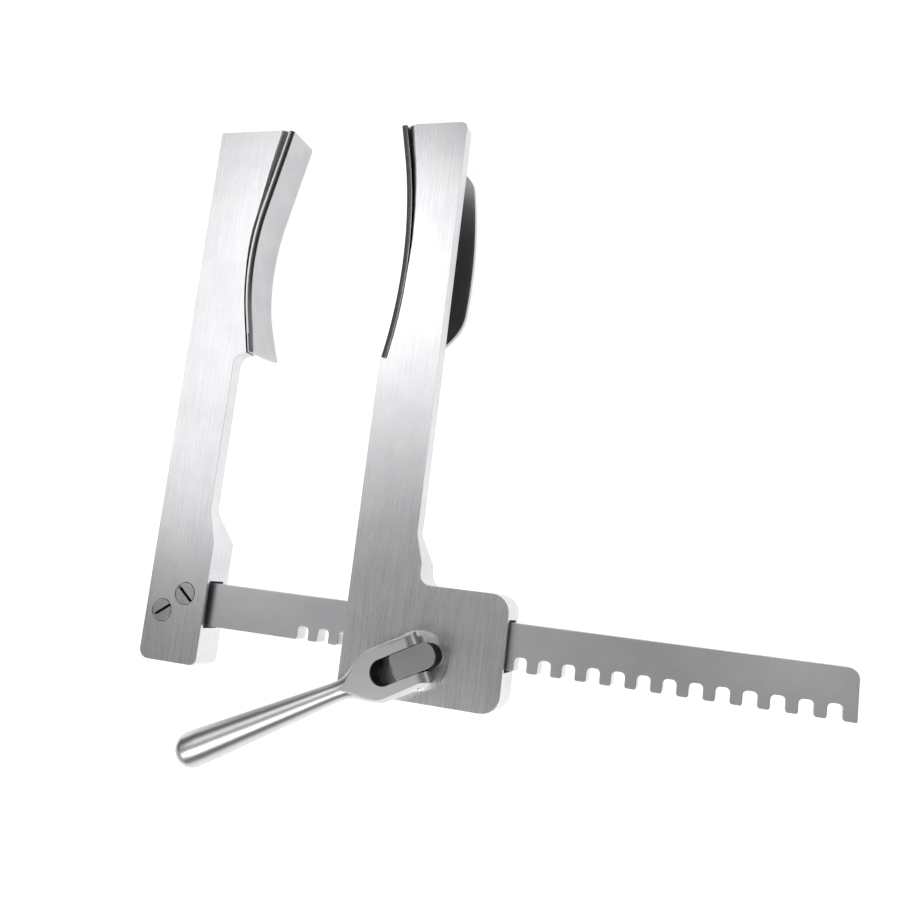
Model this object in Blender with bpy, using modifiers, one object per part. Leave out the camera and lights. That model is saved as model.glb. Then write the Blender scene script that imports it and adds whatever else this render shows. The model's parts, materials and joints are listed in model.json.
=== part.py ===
"""Self-retaining rib spreader with a toothed rack, a fixed arm, a sliding arm and a folding crank.

The instrument lies flat with its front face up. X runs along the rack towards its free end, Y runs
along the arms towards the blades, and Z points out of the front face. While it is modelled, X is
zero at the fixed arm's outer edge, Y at the rack's plain edge and Z at the front faces; at the end
the whole assembly is set down with its box centred over the origin.
"""
import math

import bmesh
import bpy
from mathutils import Vector

# Clearances and small allowances
RUN_GAP = 0.0002          # between faces that slide or turn on each other
SEAT_GAP = 0.0002         # between faces that are screwed or brazed together
BLADE_GAP = 0.0003        # brazing joint between a blade and its arm
CUT_EXTRA = 0.001         # how far a cutter runs past the face that it opens

# Rack bar
RACK_PITCH = 0.00635
RACK_HEIGHT = 0.0125
RACK_THICKNESS = 0.0055
RACK_TAIL = 0.0008        # the buried end, in from the fixed arm's outer edge
RACK_END_LAND = 0.005     # from the last notch's middle to the free end
RACK_END_RADIUS = 0.0025
FIRST_NOTCH = 0.0508
NOTCH_COUNT = 23
NOTCH_DEPTH = 0.0038
NOTCH_CORNER = 0.0012
NOTCH_CLEARANCE = 0.00013  # left on each side of a drive pin at its widest swing
TOOTH_CHAMFER = 0.0004

# Drive: two pins stand opposite each other and step one notch for each half turn
PIN_RADIUS = 0.0009
PIN_HOLE_GAP = 0.0001
PIN_ROOT_GAP = 0.0002
PIN_BLIND_DEPTH = 0.0015  # how deep a drive pin is held in the crank's spindle
REST_NOTCH = 5.75         # where the spindle rests, counted in notches from the first

# Arms
ARM_TIP = 0.141
BAR_THICKNESS = 0.0045
EDGE_ROUND = 0.001
RAMP_ROUND = 0.002        # where a ramp runs out into the thin bar
FRONT_WALL = 0.00255
BACK_WALL = 0.00255
MOUTH_DEPTH = 0.003       # the rack's slot is opened out at its mouths, this deep
MOUTH_GAP = 0.0006        # round the rack's edges
MOUTH_LIP = 0.0011        # what is left of the front wall there
ROLL_START = 0.095        # an arm's inner edge is rolled off from here on to its tip

# Fixed arm and its block
FIXED_BAR_WIDTH = 0.0168
BLOCK_WIDTH = 0.0195
BLOCK_FOOT = 0.0115       # from the rack's tooth tips down to the block's lower end
BLOCK_CORNER = 0.003
BLOCK_HEEL = 0.002
BLOCK_RAMP_START = 0.021  # the bar widens and thickens from here
BLOCK_RAMP_END = 0.012
BLOCK_RAMP_ROUND = 0.001
RACK_SCREW_RADIUS = 0.0032
RACK_SCREW_SHANK = 0.0014
RACK_SCREW_LENGTH = 0.0096
RACK_SCREW_SPOTS = ((0.0124, -0.0039), (0.0054, -0.0095))
RACK_SCREW_TURNS = (140.0, 35.0)

# Sliding arm and its housing
SLIDING_BAR_WIDTH = 0.018
NECK_FLARE = 0.0023       # how far the bar widens into its neck
HOUSING_LEFT = 0.0228     # from the spindle's axis to the arm's inner edge
HOUSING_RIGHT = 0.0232    # from the spindle's axis to the housing's outer face
HOUSING_ABOVE = 0.0070    # above the rack's plain edge
HOUSING_BELOW = 0.0111    # below the spindle's axis
HOUSING_CORNER = 0.005
HOUSING_HEEL = 0.002
NECK_FILLET = 0.003
NECK_RAMP_START = 0.0205
NECK_RAMP_END = 0.0105
NECK_RAMP_ROUND = 0.008
TIP_CORNER = 0.002

# Housing cover, let into the housing's back
COVER_MARGIN_X = 0.0035
COVER_MARGIN_TOP = 0.0020
COVER_MARGIN_FOOT = 0.0026
COVER_CORNER = 0.002
COVER_SCREW_RADIUS = 0.0019
COVER_SCREW_SHANK = 0.0009
COVER_SCREW_LENGTH = 0.0058
COVER_SCREW_INSET_X = 0.0033
COVER_SCREW_INSET_TOP = 0.0026
COVER_SCREW_INSET_FOOT = 0.003
COVER_SCREW_TURNS = (25.0, 100.0, 160.0, 70.0)
SLOT_WIDTH_SHARE = 0.26   # a screw's slot, as shares of its head's radius
SLOT_DEPTH_SHARE = 0.24

# Blades: hooks of plate, each with an upright wall and a lip that turns under the rib
BLADE_THICKNESS = 0.0018
BLADE_DEPTH = 0.0155
BLADE_START = 0.0697
BLADE_BEND = 0.003
BLADE_MIDDLE = 0.0988
LIP_WIDTH = 0.0172
LIP_TRIM_NEAR = 0.0085    # how far the lip's end slants in at the end near the rack
LIP_TRIM_FAR = 0.0115
LIP_CORNER_NEAR = 0.008
LIP_CORNER_FAR = 0.003
FIXED_BLADE_OFFSET = 0.0183   # from the fixed arm's outer edge to the wall's middle
FIXED_BLADE_RADIUS = 0.080
FIXED_BLADE_SLOPE = 12.4      # degrees, where the curve runs out into a straight
FLARE_ROUND = 0.0037          # the hollow round where the arm flares out to the blade
FIXED_TIP_CORNER = 0.0005
FIXED_ROLL_WIDTH = 0.0024     # at the tip
FIXED_ROLL_DROPS = ((1.0, 0.0), (0.5, 0.1), (0.0, 0.7))  # shares of that width, across and down
FIXED_BLADE_FLARE = 0.0017    # how far the wall's foot turns out at the end near the rack
FLARE_LENGTH = 0.020
SLIDING_BLADE_OFFSET = 0.003  # from the sliding arm's inner edge to the wall's middle
SLIDING_BLADE_RADIUS = 0.148
SLIDING_BLADE_SLOPE = 13.0
SLIDING_ROLL_WIDTH = 0.0027
SLIDING_ROLL_DROPS = ((1.0, 0.0), (0.0, 0.6))

# Crank: spindle with its lug, folding handle and hinge pin
CRANK_ANGLE = 208.1       # degrees, where the handle points at rest
COLLAR_RADIUS = 0.008
COLLAR_THICKNESS = 0.0008
JOURNAL_RADIUS = 0.005
REAR_DISC_RADIUS = 0.0055
POCKET_GAP = 0.0005       # round the circle that the drive pins sweep
LUG_HALF_WIDTH = 0.00335
LUG_REACH = 0.0050        # from the spindle's axis towards the grip
LUG_TOP = 0.0076
LUG_BACK = 0.0072         # from the spindle's axis to the lug's round end
LUG_BACK_ROUND = 0.0031
LUG_CORNER = 0.001
LUG_EDGE_ROUND = 0.0006
HINGE_PIN_RADIUS = 0.0015
FORK_HALF_THICKNESS = 0.0032
FORK_HALF_WIDTH = 0.0073
FORK_TIP_HALF_WIDTH = 0.0070
FORK_SHOULDER = 0.0125
FORK_CROTCH = 0.0116
FORK_NECK = 0.0205
FORK_TANG = 0.0245        # the flat fork ends here, inside the round neck
FORK_TANG_HALF_WIDTH = 0.0024
FORK_TIP_CORNER = 0.001
FORK_SLOT_CORNER = 0.0004
FORK_NECK_ROUND = 0.006
FORK_SHOULDER_ROUND = 0.004
FORK_EDGE_ROUND = 0.0012
CROTCH_ROUND = 0.0032
NECK_RADIUS = 0.0027
NECK_START = 0.0185       # where the round neck grows out of the fork
NECK_NOSE = 0.002
NECK_NOSE_RADIUS = 0.0016
GRIP_START = 0.0225
GRIP_RADIUS = 0.005
GRIP_END = 0.0722
GRIP_END_ROUND = 0.0035
GRIP_RISE = 2.0           # degrees, the handle's lift away from the arms

ROUND_STEPS = 40          # facets round a turned piece
STEEL = (0.60, 0.61, 0.62)

# Sizes that follow from the ones above
RACK_ROOT = -(RACK_HEIGHT - NOTCH_DEPTH)
PIN_ORBIT = RACK_PITCH / 2
PIN_SWING = PIN_ORBIT * (math.sqrt(1 - (2 / math.pi) ** 2) - 2 / math.pi * math.acos(2 / math.pi))
NOTCH_WIDTH = 2 * (PIN_RADIUS + PIN_SWING + NOTCH_CLEARANCE)
RACK_END = FIRST_NOTCH + (NOTCH_COUNT - 1) * RACK_PITCH + RACK_END_LAND
SPINDLE_X = FIRST_NOTCH + REST_NOTCH * RACK_PITCH
SPINDLE_Y = RACK_ROOT - PIN_ROOT_GAP - PIN_RADIUS - PIN_ORBIT
PIN_HEADING = 90 + 180 * REST_NOTCH % 360  # degrees; a pin points straight up when it is home in a notch
CHANNEL_FRONT = -FRONT_WALL
CHANNEL_BACK = CHANNEL_FRONT - RACK_THICKNESS - 2 * RUN_GAP
BODY_BACK = CHANNEL_BACK - BACK_WALL
RACK_FRONT = CHANNEL_FRONT - RUN_GAP
BLOCK_BOTTOM = -RACK_HEIGHT - BLOCK_FOOT
HOUSING_X0 = SPINDLE_X - HOUSING_LEFT
HOUSING_X1 = SPINDLE_X + HOUSING_RIGHT
HOUSING_BOTTOM = SPINDLE_Y - HOUSING_BELOW
LEDGE = BLADE_THICKNESS + BLADE_GAP
COVER_FRONT = CHANNEL_BACK - SEAT_GAP
HINGE_HEIGHT = RUN_GAP + COLLAR_THICKNESS + RUN_GAP + FORK_HALF_THICKNESS

for old in list(bpy.data.objects):
    bpy.data.objects.remove(old, do_unlink=True)

scene = bpy.context.scene
parts = bpy.data.collections.new("rib_spreader")
cutters = bpy.data.collections.new("cutters")
scene.collection.children.link(parts)
scene.collection.children.link(cutters)


def add_empty(name, location, parent=None, turn=0.0):
    """An axis or datum that pieces are parented to."""
    empty = bpy.data.objects.new(name, None)
    empty.empty_display_size = 0.01
    empty.location = location
    empty.rotation_euler = (0, 0, math.radians(turn))
    empty.parent = parent
    parts.objects.link(empty)
    return empty


def finish_part(obj, parent, shade=1.0, roughness=0.25):
    """Name the piece's own steel, shade its round faces smooth and hang it on its axis."""
    steel = bpy.data.materials.new(obj.name + "_steel")
    steel.use_nodes = True
    shader = steel.node_tree.nodes["Principled BSDF"]
    shader.inputs["Base Color"].default_value = (*(value * shade for value in STEEL), 1)
    shader.inputs["Metallic"].default_value = 1.0
    shader.inputs["Roughness"].default_value = roughness
    steel.diffuse_color = (*(value * shade for value in STEEL), 1)
    obj.data.materials.append(steel)
    obj.data.shade_smooth()
    obj.data.set_sharp_from_angle(angle=math.radians(35))
    obj.parent = parent
    return obj


def hide_cutter(obj):
    """Cutters stay out of the render, show as wires and move with the assembly."""
    obj.hide_render = True
    obj.display_type = "WIRE"
    obj.parent = datum
    return obj


def rounded(corners, steps=6):
    """Turn (x, y, radius) corners into an outline whose corners are arcs."""
    outline = []
    for index, (x, y, radius) in enumerate(corners):
        here = Vector((x, y))
        if radius <= 0:
            outline.append((x, y))
            continue
        before = (Vector(corners[index - 1][:2]) - here).normalized()
        after = (Vector(corners[(index + 1) % len(corners)][:2]) - here).normalized()
        half = before.angle(after) / 2
        reach = radius / math.tan(half)
        centre = here + (before + after).normalized() * (radius / math.sin(half))
        start = here + before * reach - centre
        sweep = start.angle_signed(here + after * reach - centre)
        for step in range(steps + 1):
            angle = -sweep * step / steps
            turned = Vector((start.x * math.cos(angle) - start.y * math.sin(angle),
                             start.x * math.sin(angle) + start.y * math.cos(angle)))
            outline.append(tuple(centre + turned))
    return outline


def plate(name, outline, low, high, collection=parts):
    """A flat outline in X and Y, extruded from low to high, its two caps cut into well-shaped triangles."""
    bm = bmesh.new()
    foot = bm.faces.new([bm.verts.new((x, y, low)) for x, y in outline])
    raised = bmesh.ops.extrude_face_region(bm, geom=[foot])["geom"]
    bmesh.ops.translate(bm, verts=[item for item in raised if isinstance(item, bmesh.types.BMVert)],
                        vec=(0, 0, high - low))
    bmesh.ops.recalc_face_normals(bm, faces=bm.faces)
    caps = [face for face in bm.faces if len(face.verts) > 4]
    bmesh.ops.triangulate(bm, faces=caps, quad_method="BEAUTY", ngon_method="BEAUTY")
    mesh = bpy.data.meshes.new(name)
    bm.to_mesh(mesh)
    bm.free()
    obj = bpy.data.objects.new(name, mesh)
    collection.objects.link(obj)
    return obj


def side_plate(name, outline, low, high):
    """A cutter drawn as a side view, Y along the arm and Z up, that runs along X from low to high."""
    obj = plate(name, outline, low, high, cutters)
    for vertex in obj.data.vertices:
        vertex.co = (vertex.co.z, vertex.co.x, vertex.co.y)
    return hide_cutter(obj)


def turned(name, profile, collection=parts, steps=ROUND_STEPS):
    """A turned piece: a profile of (radius, z) from its top to its foot, spun by a Screw modifier."""
    mesh = bpy.data.meshes.new(name)
    verts = [(radius, 0, z) for radius, z in profile]
    mesh.from_pydata(verts, [(i, i + 1) for i in range(len(verts) - 1)], [])
    obj = bpy.data.objects.new(name, mesh)
    collection.objects.link(obj)
    screw = obj.modifiers.new("Turn", "SCREW")
    screw.steps = steps
    screw.render_steps = steps
    screw.use_merge_vertices = True
    screw.merge_threshold = 1e-6
    return obj


def round_cutter(name, radius, low, high, centre=(0, 0), steps=ROUND_STEPS):
    """A plain round bore along Z."""
    cutter = turned(name, [(0, high), (radius, high), (radius, low), (0, low)], cutters, steps)
    cutter.location = (*centre, 0)
    return hide_cutter(cutter)


def box_cutter(name, low, high):
    """A square-cornered slot or recess between two corners."""
    return hide_cutter(plate(name, [(low[0], low[1]), (high[0], low[1]), (high[0], high[1]),
                                    (low[0], high[1])], low[2], high[2], cutters))


def combine(obj, other, operation="DIFFERENCE"):
    """Cut, join or cross a piece with another by an exact Boolean."""
    boolean = obj.modifiers.new(other.name, "BOOLEAN")
    boolean.operation = operation
    boolean.solver = "EXACT"
    boolean.object = other
    return obj


def soften(obj, width, segments=3, angle=35):
    """Round the piece's long edges."""
    bevel = obj.modifiers.new("Edges", "BEVEL")
    bevel.width = width
    bevel.segments = segments
    bevel.limit_method = "ANGLE"
    bevel.angle_limit = math.radians(angle)
    return obj


def screw_profile(head, shank, length, gap=0.0, over=0.0):
    """A countersunk screw, its head flush at z = 0; gap makes its hole, over opens the hole's mouth."""
    cone = head - shank
    mouth = [(0, over), (head + gap, over)] if over else [(0, 0)]
    return mouth + [(head + gap, -gap / 2), (shank + gap, -cone - gap / 2), (shank + gap, -length - gap),
                    (0, -length - gap)]


def slotted_screw(name, head, shank, length, spot, turn, parent, facing_back=False):
    """A slotted countersunk screw at a spot (x, y, z) of its face."""
    screw = turned(name, screw_profile(head, shank, length), steps=24)
    slot_width = head * SLOT_WIDTH_SHARE
    slot = box_cutter(name + "_slot", (-head - CUT_EXTRA, -slot_width / 2, -head * SLOT_DEPTH_SHARE),
                      (head + CUT_EXTRA, slot_width / 2, CUT_EXTRA))
    slot.rotation_euler = (0, 0, math.radians(turn))
    slot.parent = screw
    combine(screw, slot)
    screw.location = spot
    screw.rotation_euler = (math.pi if facing_back else 0, 0, 0)
    return finish_part(screw, parent, 0.9, 0.3)


def screw_hole(name, head, shank, length, spot, facing_back=False):
    """The countersunk hole of a screw, a gap wider than the screw all round."""
    hole = turned(name, screw_profile(head, shank, length, SEAT_GAP, CUT_EXTRA), cutters, 24)
    hole.location = spot
    hole.rotation_euler = (math.pi if facing_back else 0, 0, 0)
    return hide_cutter(hole)


def wall_rise(distance, radius, slope):
    """How far a blade's wall stands in from its middle: an arc that runs out into a straight."""
    run_out = radius * math.sin(math.radians(slope))
    if abs(distance) <= run_out:
        return radius - math.sqrt(radius ** 2 - distance ** 2)
    edge = radius - math.sqrt(radius ** 2 - run_out ** 2)
    return edge + (abs(distance) - run_out) * math.tan(math.radians(slope))


def spread(low, high, count):
    """Evenly spaced values with both ends."""
    return [low + (high - low) * index / (count - 1) for index in range(count)]


def seat_line(middle_x, radius, slope, side, count=19):
    """The arm's edge behind its blade, from the end near the rack to the tip."""
    line = []
    for y in spread(BLADE_START - BLADE_GAP, ARM_TIP, count):
        rise = wall_rise(y - BLADE_MIDDLE, radius, slope)
        line.append((middle_x + side * (rise - LEDGE), y))
    return line


def arm_side_view(ramp_start, ramp_end, ramp_round, foot):
    """Side view of an arm: a thin bar that thickens by a ramp on its back into the deep foot."""
    past_foot = foot - CUT_EXTRA
    past_tip = ARM_TIP + CUT_EXTRA
    return rounded([(past_foot, 0, 0), (past_foot, BODY_BACK, 0), (ramp_end, BODY_BACK, ramp_round),
                    (ramp_start, -BAR_THICKNESS, RAMP_ROUND), (past_tip, -BAR_THICKNESS, 0), (past_tip, 0, 0)])


def edge_roll(name, middle_x, radius, slope, side, width, drops, count=24):
    """A cutter that rolls off an arm's inner edge beside its blade, from nothing to full width at the tip."""
    rise_out = (drops[0][0] - drops[1][0]) / (drops[1][1] - drops[0][1])
    fall_out = (drops[-1][1] - drops[-2][1]) / (drops[-2][0] - drops[-1][0])
    rows = []
    bm = bmesh.new()
    for y in spread(ROLL_START, ARM_TIP + CUT_EXTRA, count):
        share = min(1.0, (y - ROLL_START) / (ARM_TIP - ROLL_START)) * 0.97 + 0.03
        edge = middle_x + side * (wall_rise(y - BLADE_MIDDLE, radius, slope) - LEDGE)
        section = [(across * width * share, -down * width * share) for across, down in drops]
        section[0:0] = [(section[0][0] + CUT_EXTRA * rise_out, CUT_EXTRA)]
        section += [(-CUT_EXTRA, section[-1][1] - CUT_EXTRA * fall_out), (-CUT_EXTRA, CUT_EXTRA)]
        rows.append([bm.verts.new((edge - side * across, y, height)) for across, height in section])
    for here, there in zip(rows, rows[1:]):
        for index in range(len(here)):
            other = (index + 1) % len(here)
            bm.faces.new([here[index], here[other], there[other], there[index]])
    bm.faces.new(rows[0])
    bm.faces.new(rows[-1])
    bmesh.ops.recalc_face_normals(bm, faces=bm.faces)
    mesh = bpy.data.meshes.new(name)
    bm.to_mesh(mesh)
    bm.free()
    obj = bpy.data.objects.new(name, mesh)
    cutters.objects.link(obj)
    return hide_cutter(obj)


def slot_mouth(name, low, high):
    """The wider mouth where the rack leaves a slot, between two places along the rack."""
    return box_cutter(name, (low, -RACK_HEIGHT - MOUTH_GAP, CHANNEL_BACK), (high, MOUTH_GAP, -MOUTH_LIP))


# The datum that everything hangs on, and the axes of the moving pieces
datum = add_empty("datum", (0, 0, 0))
slide_axis = add_empty("slide_axis", (SPINDLE_X, SPINDLE_Y, 0), datum)
turn_axis = add_empty("turn_axis", (0, 0, 0), slide_axis, CRANK_ANGLE)
fold_axis = add_empty("fold_axis", (0, 0, HINGE_HEIGHT), turn_axis)


def rack_outline():
    """The bar's plain upper edge, its free end and one arched notch after another."""
    corners = [(RACK_TAIL, 0, 0), (RACK_TAIL, -RACK_HEIGHT, 0)]
    chamfer = -RACK_HEIGHT + TOOTH_CHAMFER
    for notch in range(NOTCH_COUNT):
        left = FIRST_NOTCH + notch * RACK_PITCH - NOTCH_WIDTH / 2
        right = left + NOTCH_WIDTH
        corners += [(left - TOOTH_CHAMFER, -RACK_HEIGHT, 0), (left, chamfer, 0), (left, RACK_ROOT, NOTCH_CORNER),
                    (right, RACK_ROOT, NOTCH_CORNER), (right, chamfer, 0), (right + TOOTH_CHAMFER, -RACK_HEIGHT, 0)]
    return corners + [(RACK_END, -RACK_HEIGHT, 0), (RACK_END, 0, RACK_END_RADIUS)]


rack_bar = plate("rack_bar", rounded(rack_outline(), 5), RACK_FRONT - RACK_THICKNESS, RACK_FRONT)
for number, spot in enumerate(RACK_SCREW_SPOTS):
    bore = round_cutter(f"rack_bore_{number}", RACK_SCREW_SHANK + SEAT_GAP, BODY_BACK, CUT_EXTRA, spot, 24)
    combine(rack_bar, bore)
finish_part(rack_bar, datum, 0.8)


def fixed_arm_outline():
    """The block's foot, the bar's straight inner edge, the flare out to the blade and the seat behind it."""
    seat = seat_line(FIXED_BLADE_OFFSET, FIXED_BLADE_RADIUS, FIXED_BLADE_SLOPE, 1)
    corners = [(0, BLOCK_BOTTOM, BLOCK_CORNER), (BLOCK_WIDTH, BLOCK_BOTTOM, BLOCK_HEEL),
               (BLOCK_WIDTH, BLOCK_RAMP_END, 0), (FIXED_BAR_WIDTH, BLOCK_RAMP_START, 0),
               (FIXED_BAR_WIDTH, seat[0][1], FLARE_ROUND)]
    corners += [(x, y, 0) for x, y in seat]
    return corners + [(0, ARM_TIP, FIXED_TIP_CORNER)]


fixed_arm = plate("fixed_arm", rounded(fixed_arm_outline()), BODY_BACK - CUT_EXTRA, CUT_EXTRA)
fixed_side = side_plate("fixed_side", arm_side_view(BLOCK_RAMP_START, BLOCK_RAMP_END, BLOCK_RAMP_ROUND,
                                                    BLOCK_BOTTOM), -CUT_EXTRA, 2 * BLOCK_WIDTH)
combine(fixed_arm, fixed_side, "INTERSECT")
soften(fixed_arm, EDGE_ROUND)
combine(fixed_arm, box_cutter("fixed_mortise", (-CUT_EXTRA, -RACK_HEIGHT - RUN_GAP, CHANNEL_BACK),
                              (BLOCK_WIDTH + CUT_EXTRA, RUN_GAP, CHANNEL_FRONT)))
combine(fixed_arm, slot_mouth("fixed_mouth", BLOCK_WIDTH - MOUTH_DEPTH, BLOCK_WIDTH + CUT_EXTRA))
combine(fixed_arm, edge_roll("fixed_roll", FIXED_BLADE_OFFSET, FIXED_BLADE_RADIUS, FIXED_BLADE_SLOPE, 1,
                             FIXED_ROLL_WIDTH, FIXED_ROLL_DROPS))
for number, (spot, turn) in enumerate(zip(RACK_SCREW_SPOTS, RACK_SCREW_TURNS)):
    place = (*spot, 0)
    hole = screw_hole(f"rack_screw_hole_{number}", RACK_SCREW_RADIUS, RACK_SCREW_SHANK, RACK_SCREW_LENGTH, place)
    combine(fixed_arm, hole)
    slotted_screw(("rack_screw_upper", "rack_screw_lower")[number], RACK_SCREW_RADIUS, RACK_SCREW_SHANK,
                  RACK_SCREW_LENGTH, place, turn, datum)
finish_part(fixed_arm, datum)


def sliding_arm_outline(left):
    """The housing's box, the arm's outer edge, its tip and the seat behind the blade."""
    right = HOUSING_X1 - HOUSING_X0 + left
    seat = seat_line(left + SLIDING_BLADE_OFFSET, SLIDING_BLADE_RADIUS, SLIDING_BLADE_SLOPE, -1)
    edge = left + SLIDING_BAR_WIDTH
    corners = [(left, HOUSING_BOTTOM, HOUSING_HEEL), (right, HOUSING_BOTTOM, HOUSING_CORNER),
               (right, HOUSING_ABOVE, HOUSING_CORNER), (edge + NECK_FLARE, HOUSING_ABOVE, NECK_FILLET),
               (edge + NECK_FLARE, NECK_RAMP_END + NECK_FLARE, NECK_FLARE), (edge, NECK_RAMP_START, 0),
               (edge, ARM_TIP, TIP_CORNER)]
    corners += [(x, y, 0) for x, y in reversed(seat)]
    return corners + [(left, BLADE_START - BLADE_GAP, 0)]


sliding_arm = plate("sliding_arm", rounded(sliding_arm_outline(HOUSING_X0)), BODY_BACK - CUT_EXTRA, CUT_EXTRA)
sliding_side = side_plate("sliding_side", arm_side_view(NECK_RAMP_START, NECK_RAMP_END, NECK_RAMP_ROUND,
                                                        HOUSING_BOTTOM), 0, HOUSING_X1 + CUT_EXTRA)
combine(sliding_arm, sliding_side, "INTERSECT")
soften(sliding_arm, EDGE_ROUND)

cover_x = (HOUSING_X0 + COVER_MARGIN_X, HOUSING_X1 - COVER_MARGIN_X)
cover_y = (HOUSING_BOTTOM + COVER_MARGIN_FOOT, HOUSING_ABOVE - COVER_MARGIN_TOP)


def cover_outline(gap):
    """The cover's rounded oblong, drawn in by a gap all round."""
    left, right = cover_x[0] + gap, cover_x[1] - gap
    foot, head = cover_y[0] + gap, cover_y[1] - gap
    corner = COVER_CORNER - gap
    return rounded([(left, foot, corner), (right, foot, corner), (right, head, corner), (left, head, corner)])


combine(sliding_arm, box_cutter("housing_channel", (HOUSING_X0 - CUT_EXTRA, -RACK_HEIGHT - RUN_GAP, CHANNEL_BACK),
                                (HOUSING_X1 + CUT_EXTRA, RUN_GAP, CHANNEL_FRONT)))
combine(sliding_arm, slot_mouth("left_mouth", HOUSING_X0 - CUT_EXTRA, HOUSING_X0 + MOUTH_DEPTH))
combine(sliding_arm, slot_mouth("right_mouth", HOUSING_X1 - MOUTH_DEPTH, HOUSING_X1 + CUT_EXTRA))
combine(sliding_arm, edge_roll("sliding_roll", HOUSING_X0 + SLIDING_BLADE_OFFSET, SLIDING_BLADE_RADIUS,
                               SLIDING_BLADE_SLOPE, -1, SLIDING_ROLL_WIDTH, SLIDING_ROLL_DROPS))
cover_recess = plate("cover_recess", cover_outline(0), BODY_BACK - CUT_EXTRA, CHANNEL_BACK, cutters)
combine(sliding_arm, hide_cutter(cover_recess))
spindle_spot = (SPINDLE_X, SPINDLE_Y)
journal_bore = JOURNAL_RADIUS + RUN_GAP
pin_pocket = PIN_ORBIT + PIN_RADIUS + POCKET_GAP
bore_foot = CHANNEL_FRONT - SEAT_GAP / 2
pocket_foot = CHANNEL_BACK - CUT_EXTRA
spindle_bore = turned("spindle_bore", [(0, CUT_EXTRA), (journal_bore, CUT_EXTRA), (journal_bore, bore_foot),
                                       (pin_pocket, bore_foot), (pin_pocket, pocket_foot), (0, pocket_foot)],
                      cutters)
spindle_bore.location = (*spindle_spot, 0)
combine(sliding_arm, hide_cutter(spindle_bore))

housing_cover = plate("housing_cover", cover_outline(SEAT_GAP), BODY_BACK, COVER_FRONT)
combine(housing_cover, round_cutter("rear_disc_bore", REAR_DISC_RADIUS + RUN_GAP, BODY_BACK - CUT_EXTRA,
                                    COVER_FRONT + CUT_EXTRA, spindle_spot))
screw_rows = (cover_y[1] - COVER_SCREW_INSET_TOP, cover_y[0] + COVER_SCREW_INSET_FOOT)
screw_columns = (cover_x[0] + COVER_SCREW_INSET_X, cover_x[1] - COVER_SCREW_INSET_X)
cover_spots = [(x, y, BODY_BACK) for y in screw_rows for x in screw_columns]
for number, (spot, turn) in enumerate(zip(cover_spots, COVER_SCREW_TURNS), 1):
    hole = screw_hole(f"cover_screw_hole_{number}", COVER_SCREW_RADIUS, COVER_SCREW_SHANK, COVER_SCREW_LENGTH,
                      spot, True)
    combine(sliding_arm, hole)
    combine(housing_cover, hole)
    slotted_screw(f"cover_screw_{number}", COVER_SCREW_RADIUS, COVER_SCREW_SHANK, COVER_SCREW_LENGTH, spot, turn,
                  datum, True)
finish_part(sliding_arm, datum, 0.95)
finish_part(housing_cover, datum, 0.9)


def blade_profile(inset):
    """One skin of the plate as (distance from the wall's face, depth): wall, bend and lip."""
    bend = BLADE_BEND - inset
    line = [(inset, depth) for depth in spread(0, BLADE_DEPTH - BLADE_BEND, 4)]
    for angle in spread(0, math.pi / 2, 6)[1:]:
        line.append((BLADE_BEND - bend * math.cos(angle), BLADE_DEPTH - BLADE_BEND + bend * math.sin(angle)))
    straight = spread(BLADE_BEND, LIP_WIDTH - LIP_CORNER_NEAR, 3)[1:]
    corner = [LIP_WIDTH - LIP_CORNER_NEAR * (1 - math.sin(angle)) for angle in spread(0, math.pi / 2, 8)[1:]]
    return line + [(distance, BLADE_DEPTH - inset) for distance in straight + corner]


def end_trims(distance):
    """How far each end of the plate has drawn in at a distance out along the lip."""
    trims = []
    for trim, corner in ((LIP_TRIM_NEAR, LIP_CORNER_NEAR), (LIP_TRIM_FAR, LIP_CORNER_FAR)):
        past = max(0.0, distance - (LIP_WIDTH - corner))
        rounding = corner - math.sqrt(max(0.0, corner ** 2 - past ** 2))
        trims.append(trim * distance / LIP_WIDTH + rounding)
    return trims


def hook_blade(name, middle_x, radius, slope, side, flare, columns=25):
    """Loft the hook's section along its curved wall, with the lip's ends drawn in, as a closed plate."""
    bm = bmesh.new()
    outer, inner = [], []
    for skin, inset in ((outer, 0.0), (inner, BLADE_THICKNESS)):
        for (distance, depth), (pair, _) in zip(blade_profile(inset), blade_profile(0.0)):
            near, far = end_trims(pair)
            row = []
            for y in spread(BLADE_START + near, ARM_TIP - far, columns):
                rise = wall_rise(y - BLADE_MIDDLE, radius, slope)
                turn_out = flare * depth / BLADE_DEPTH * max(0.0, 1 - (y - BLADE_START) / FLARE_LENGTH) ** 2
                row.append(bm.verts.new((middle_x + side * (rise - distance + turn_out), y, -depth)))
            skin.append(row)
    last = columns - 1
    for index in range(len(outer) - 1):
        for column in range(last):
            for skin in (outer, inner):
                bm.faces.new([skin[index][column], skin[index][column + 1], skin[index + 1][column + 1],
                              skin[index + 1][column]])
        for column in (0, last):
            bm.faces.new([outer[index][column], outer[index + 1][column], inner[index + 1][column],
                          inner[index][column]])
    for index in (0, len(outer) - 1):
        for column in range(last):
            bm.faces.new([outer[index][column], outer[index][column + 1], inner[index][column + 1],
                          inner[index][column]])
    bmesh.ops.recalc_face_normals(bm, faces=bm.faces)
    mesh = bpy.data.meshes.new(name)
    bm.to_mesh(mesh)
    bm.free()
    blade = bpy.data.objects.new(name, mesh)
    parts.objects.link(blade)
    return finish_part(blade, datum, 0.9, 0.2)


hook_blade("fixed_blade", FIXED_BLADE_OFFSET, FIXED_BLADE_RADIUS, FIXED_BLADE_SLOPE, 1, FIXED_BLADE_FLARE)
hook_blade("sliding_blade", HOUSING_X0 + SLIDING_BLADE_OFFSET, SLIDING_BLADE_RADIUS, SLIDING_BLADE_SLOPE, -1, 0.0)

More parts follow.
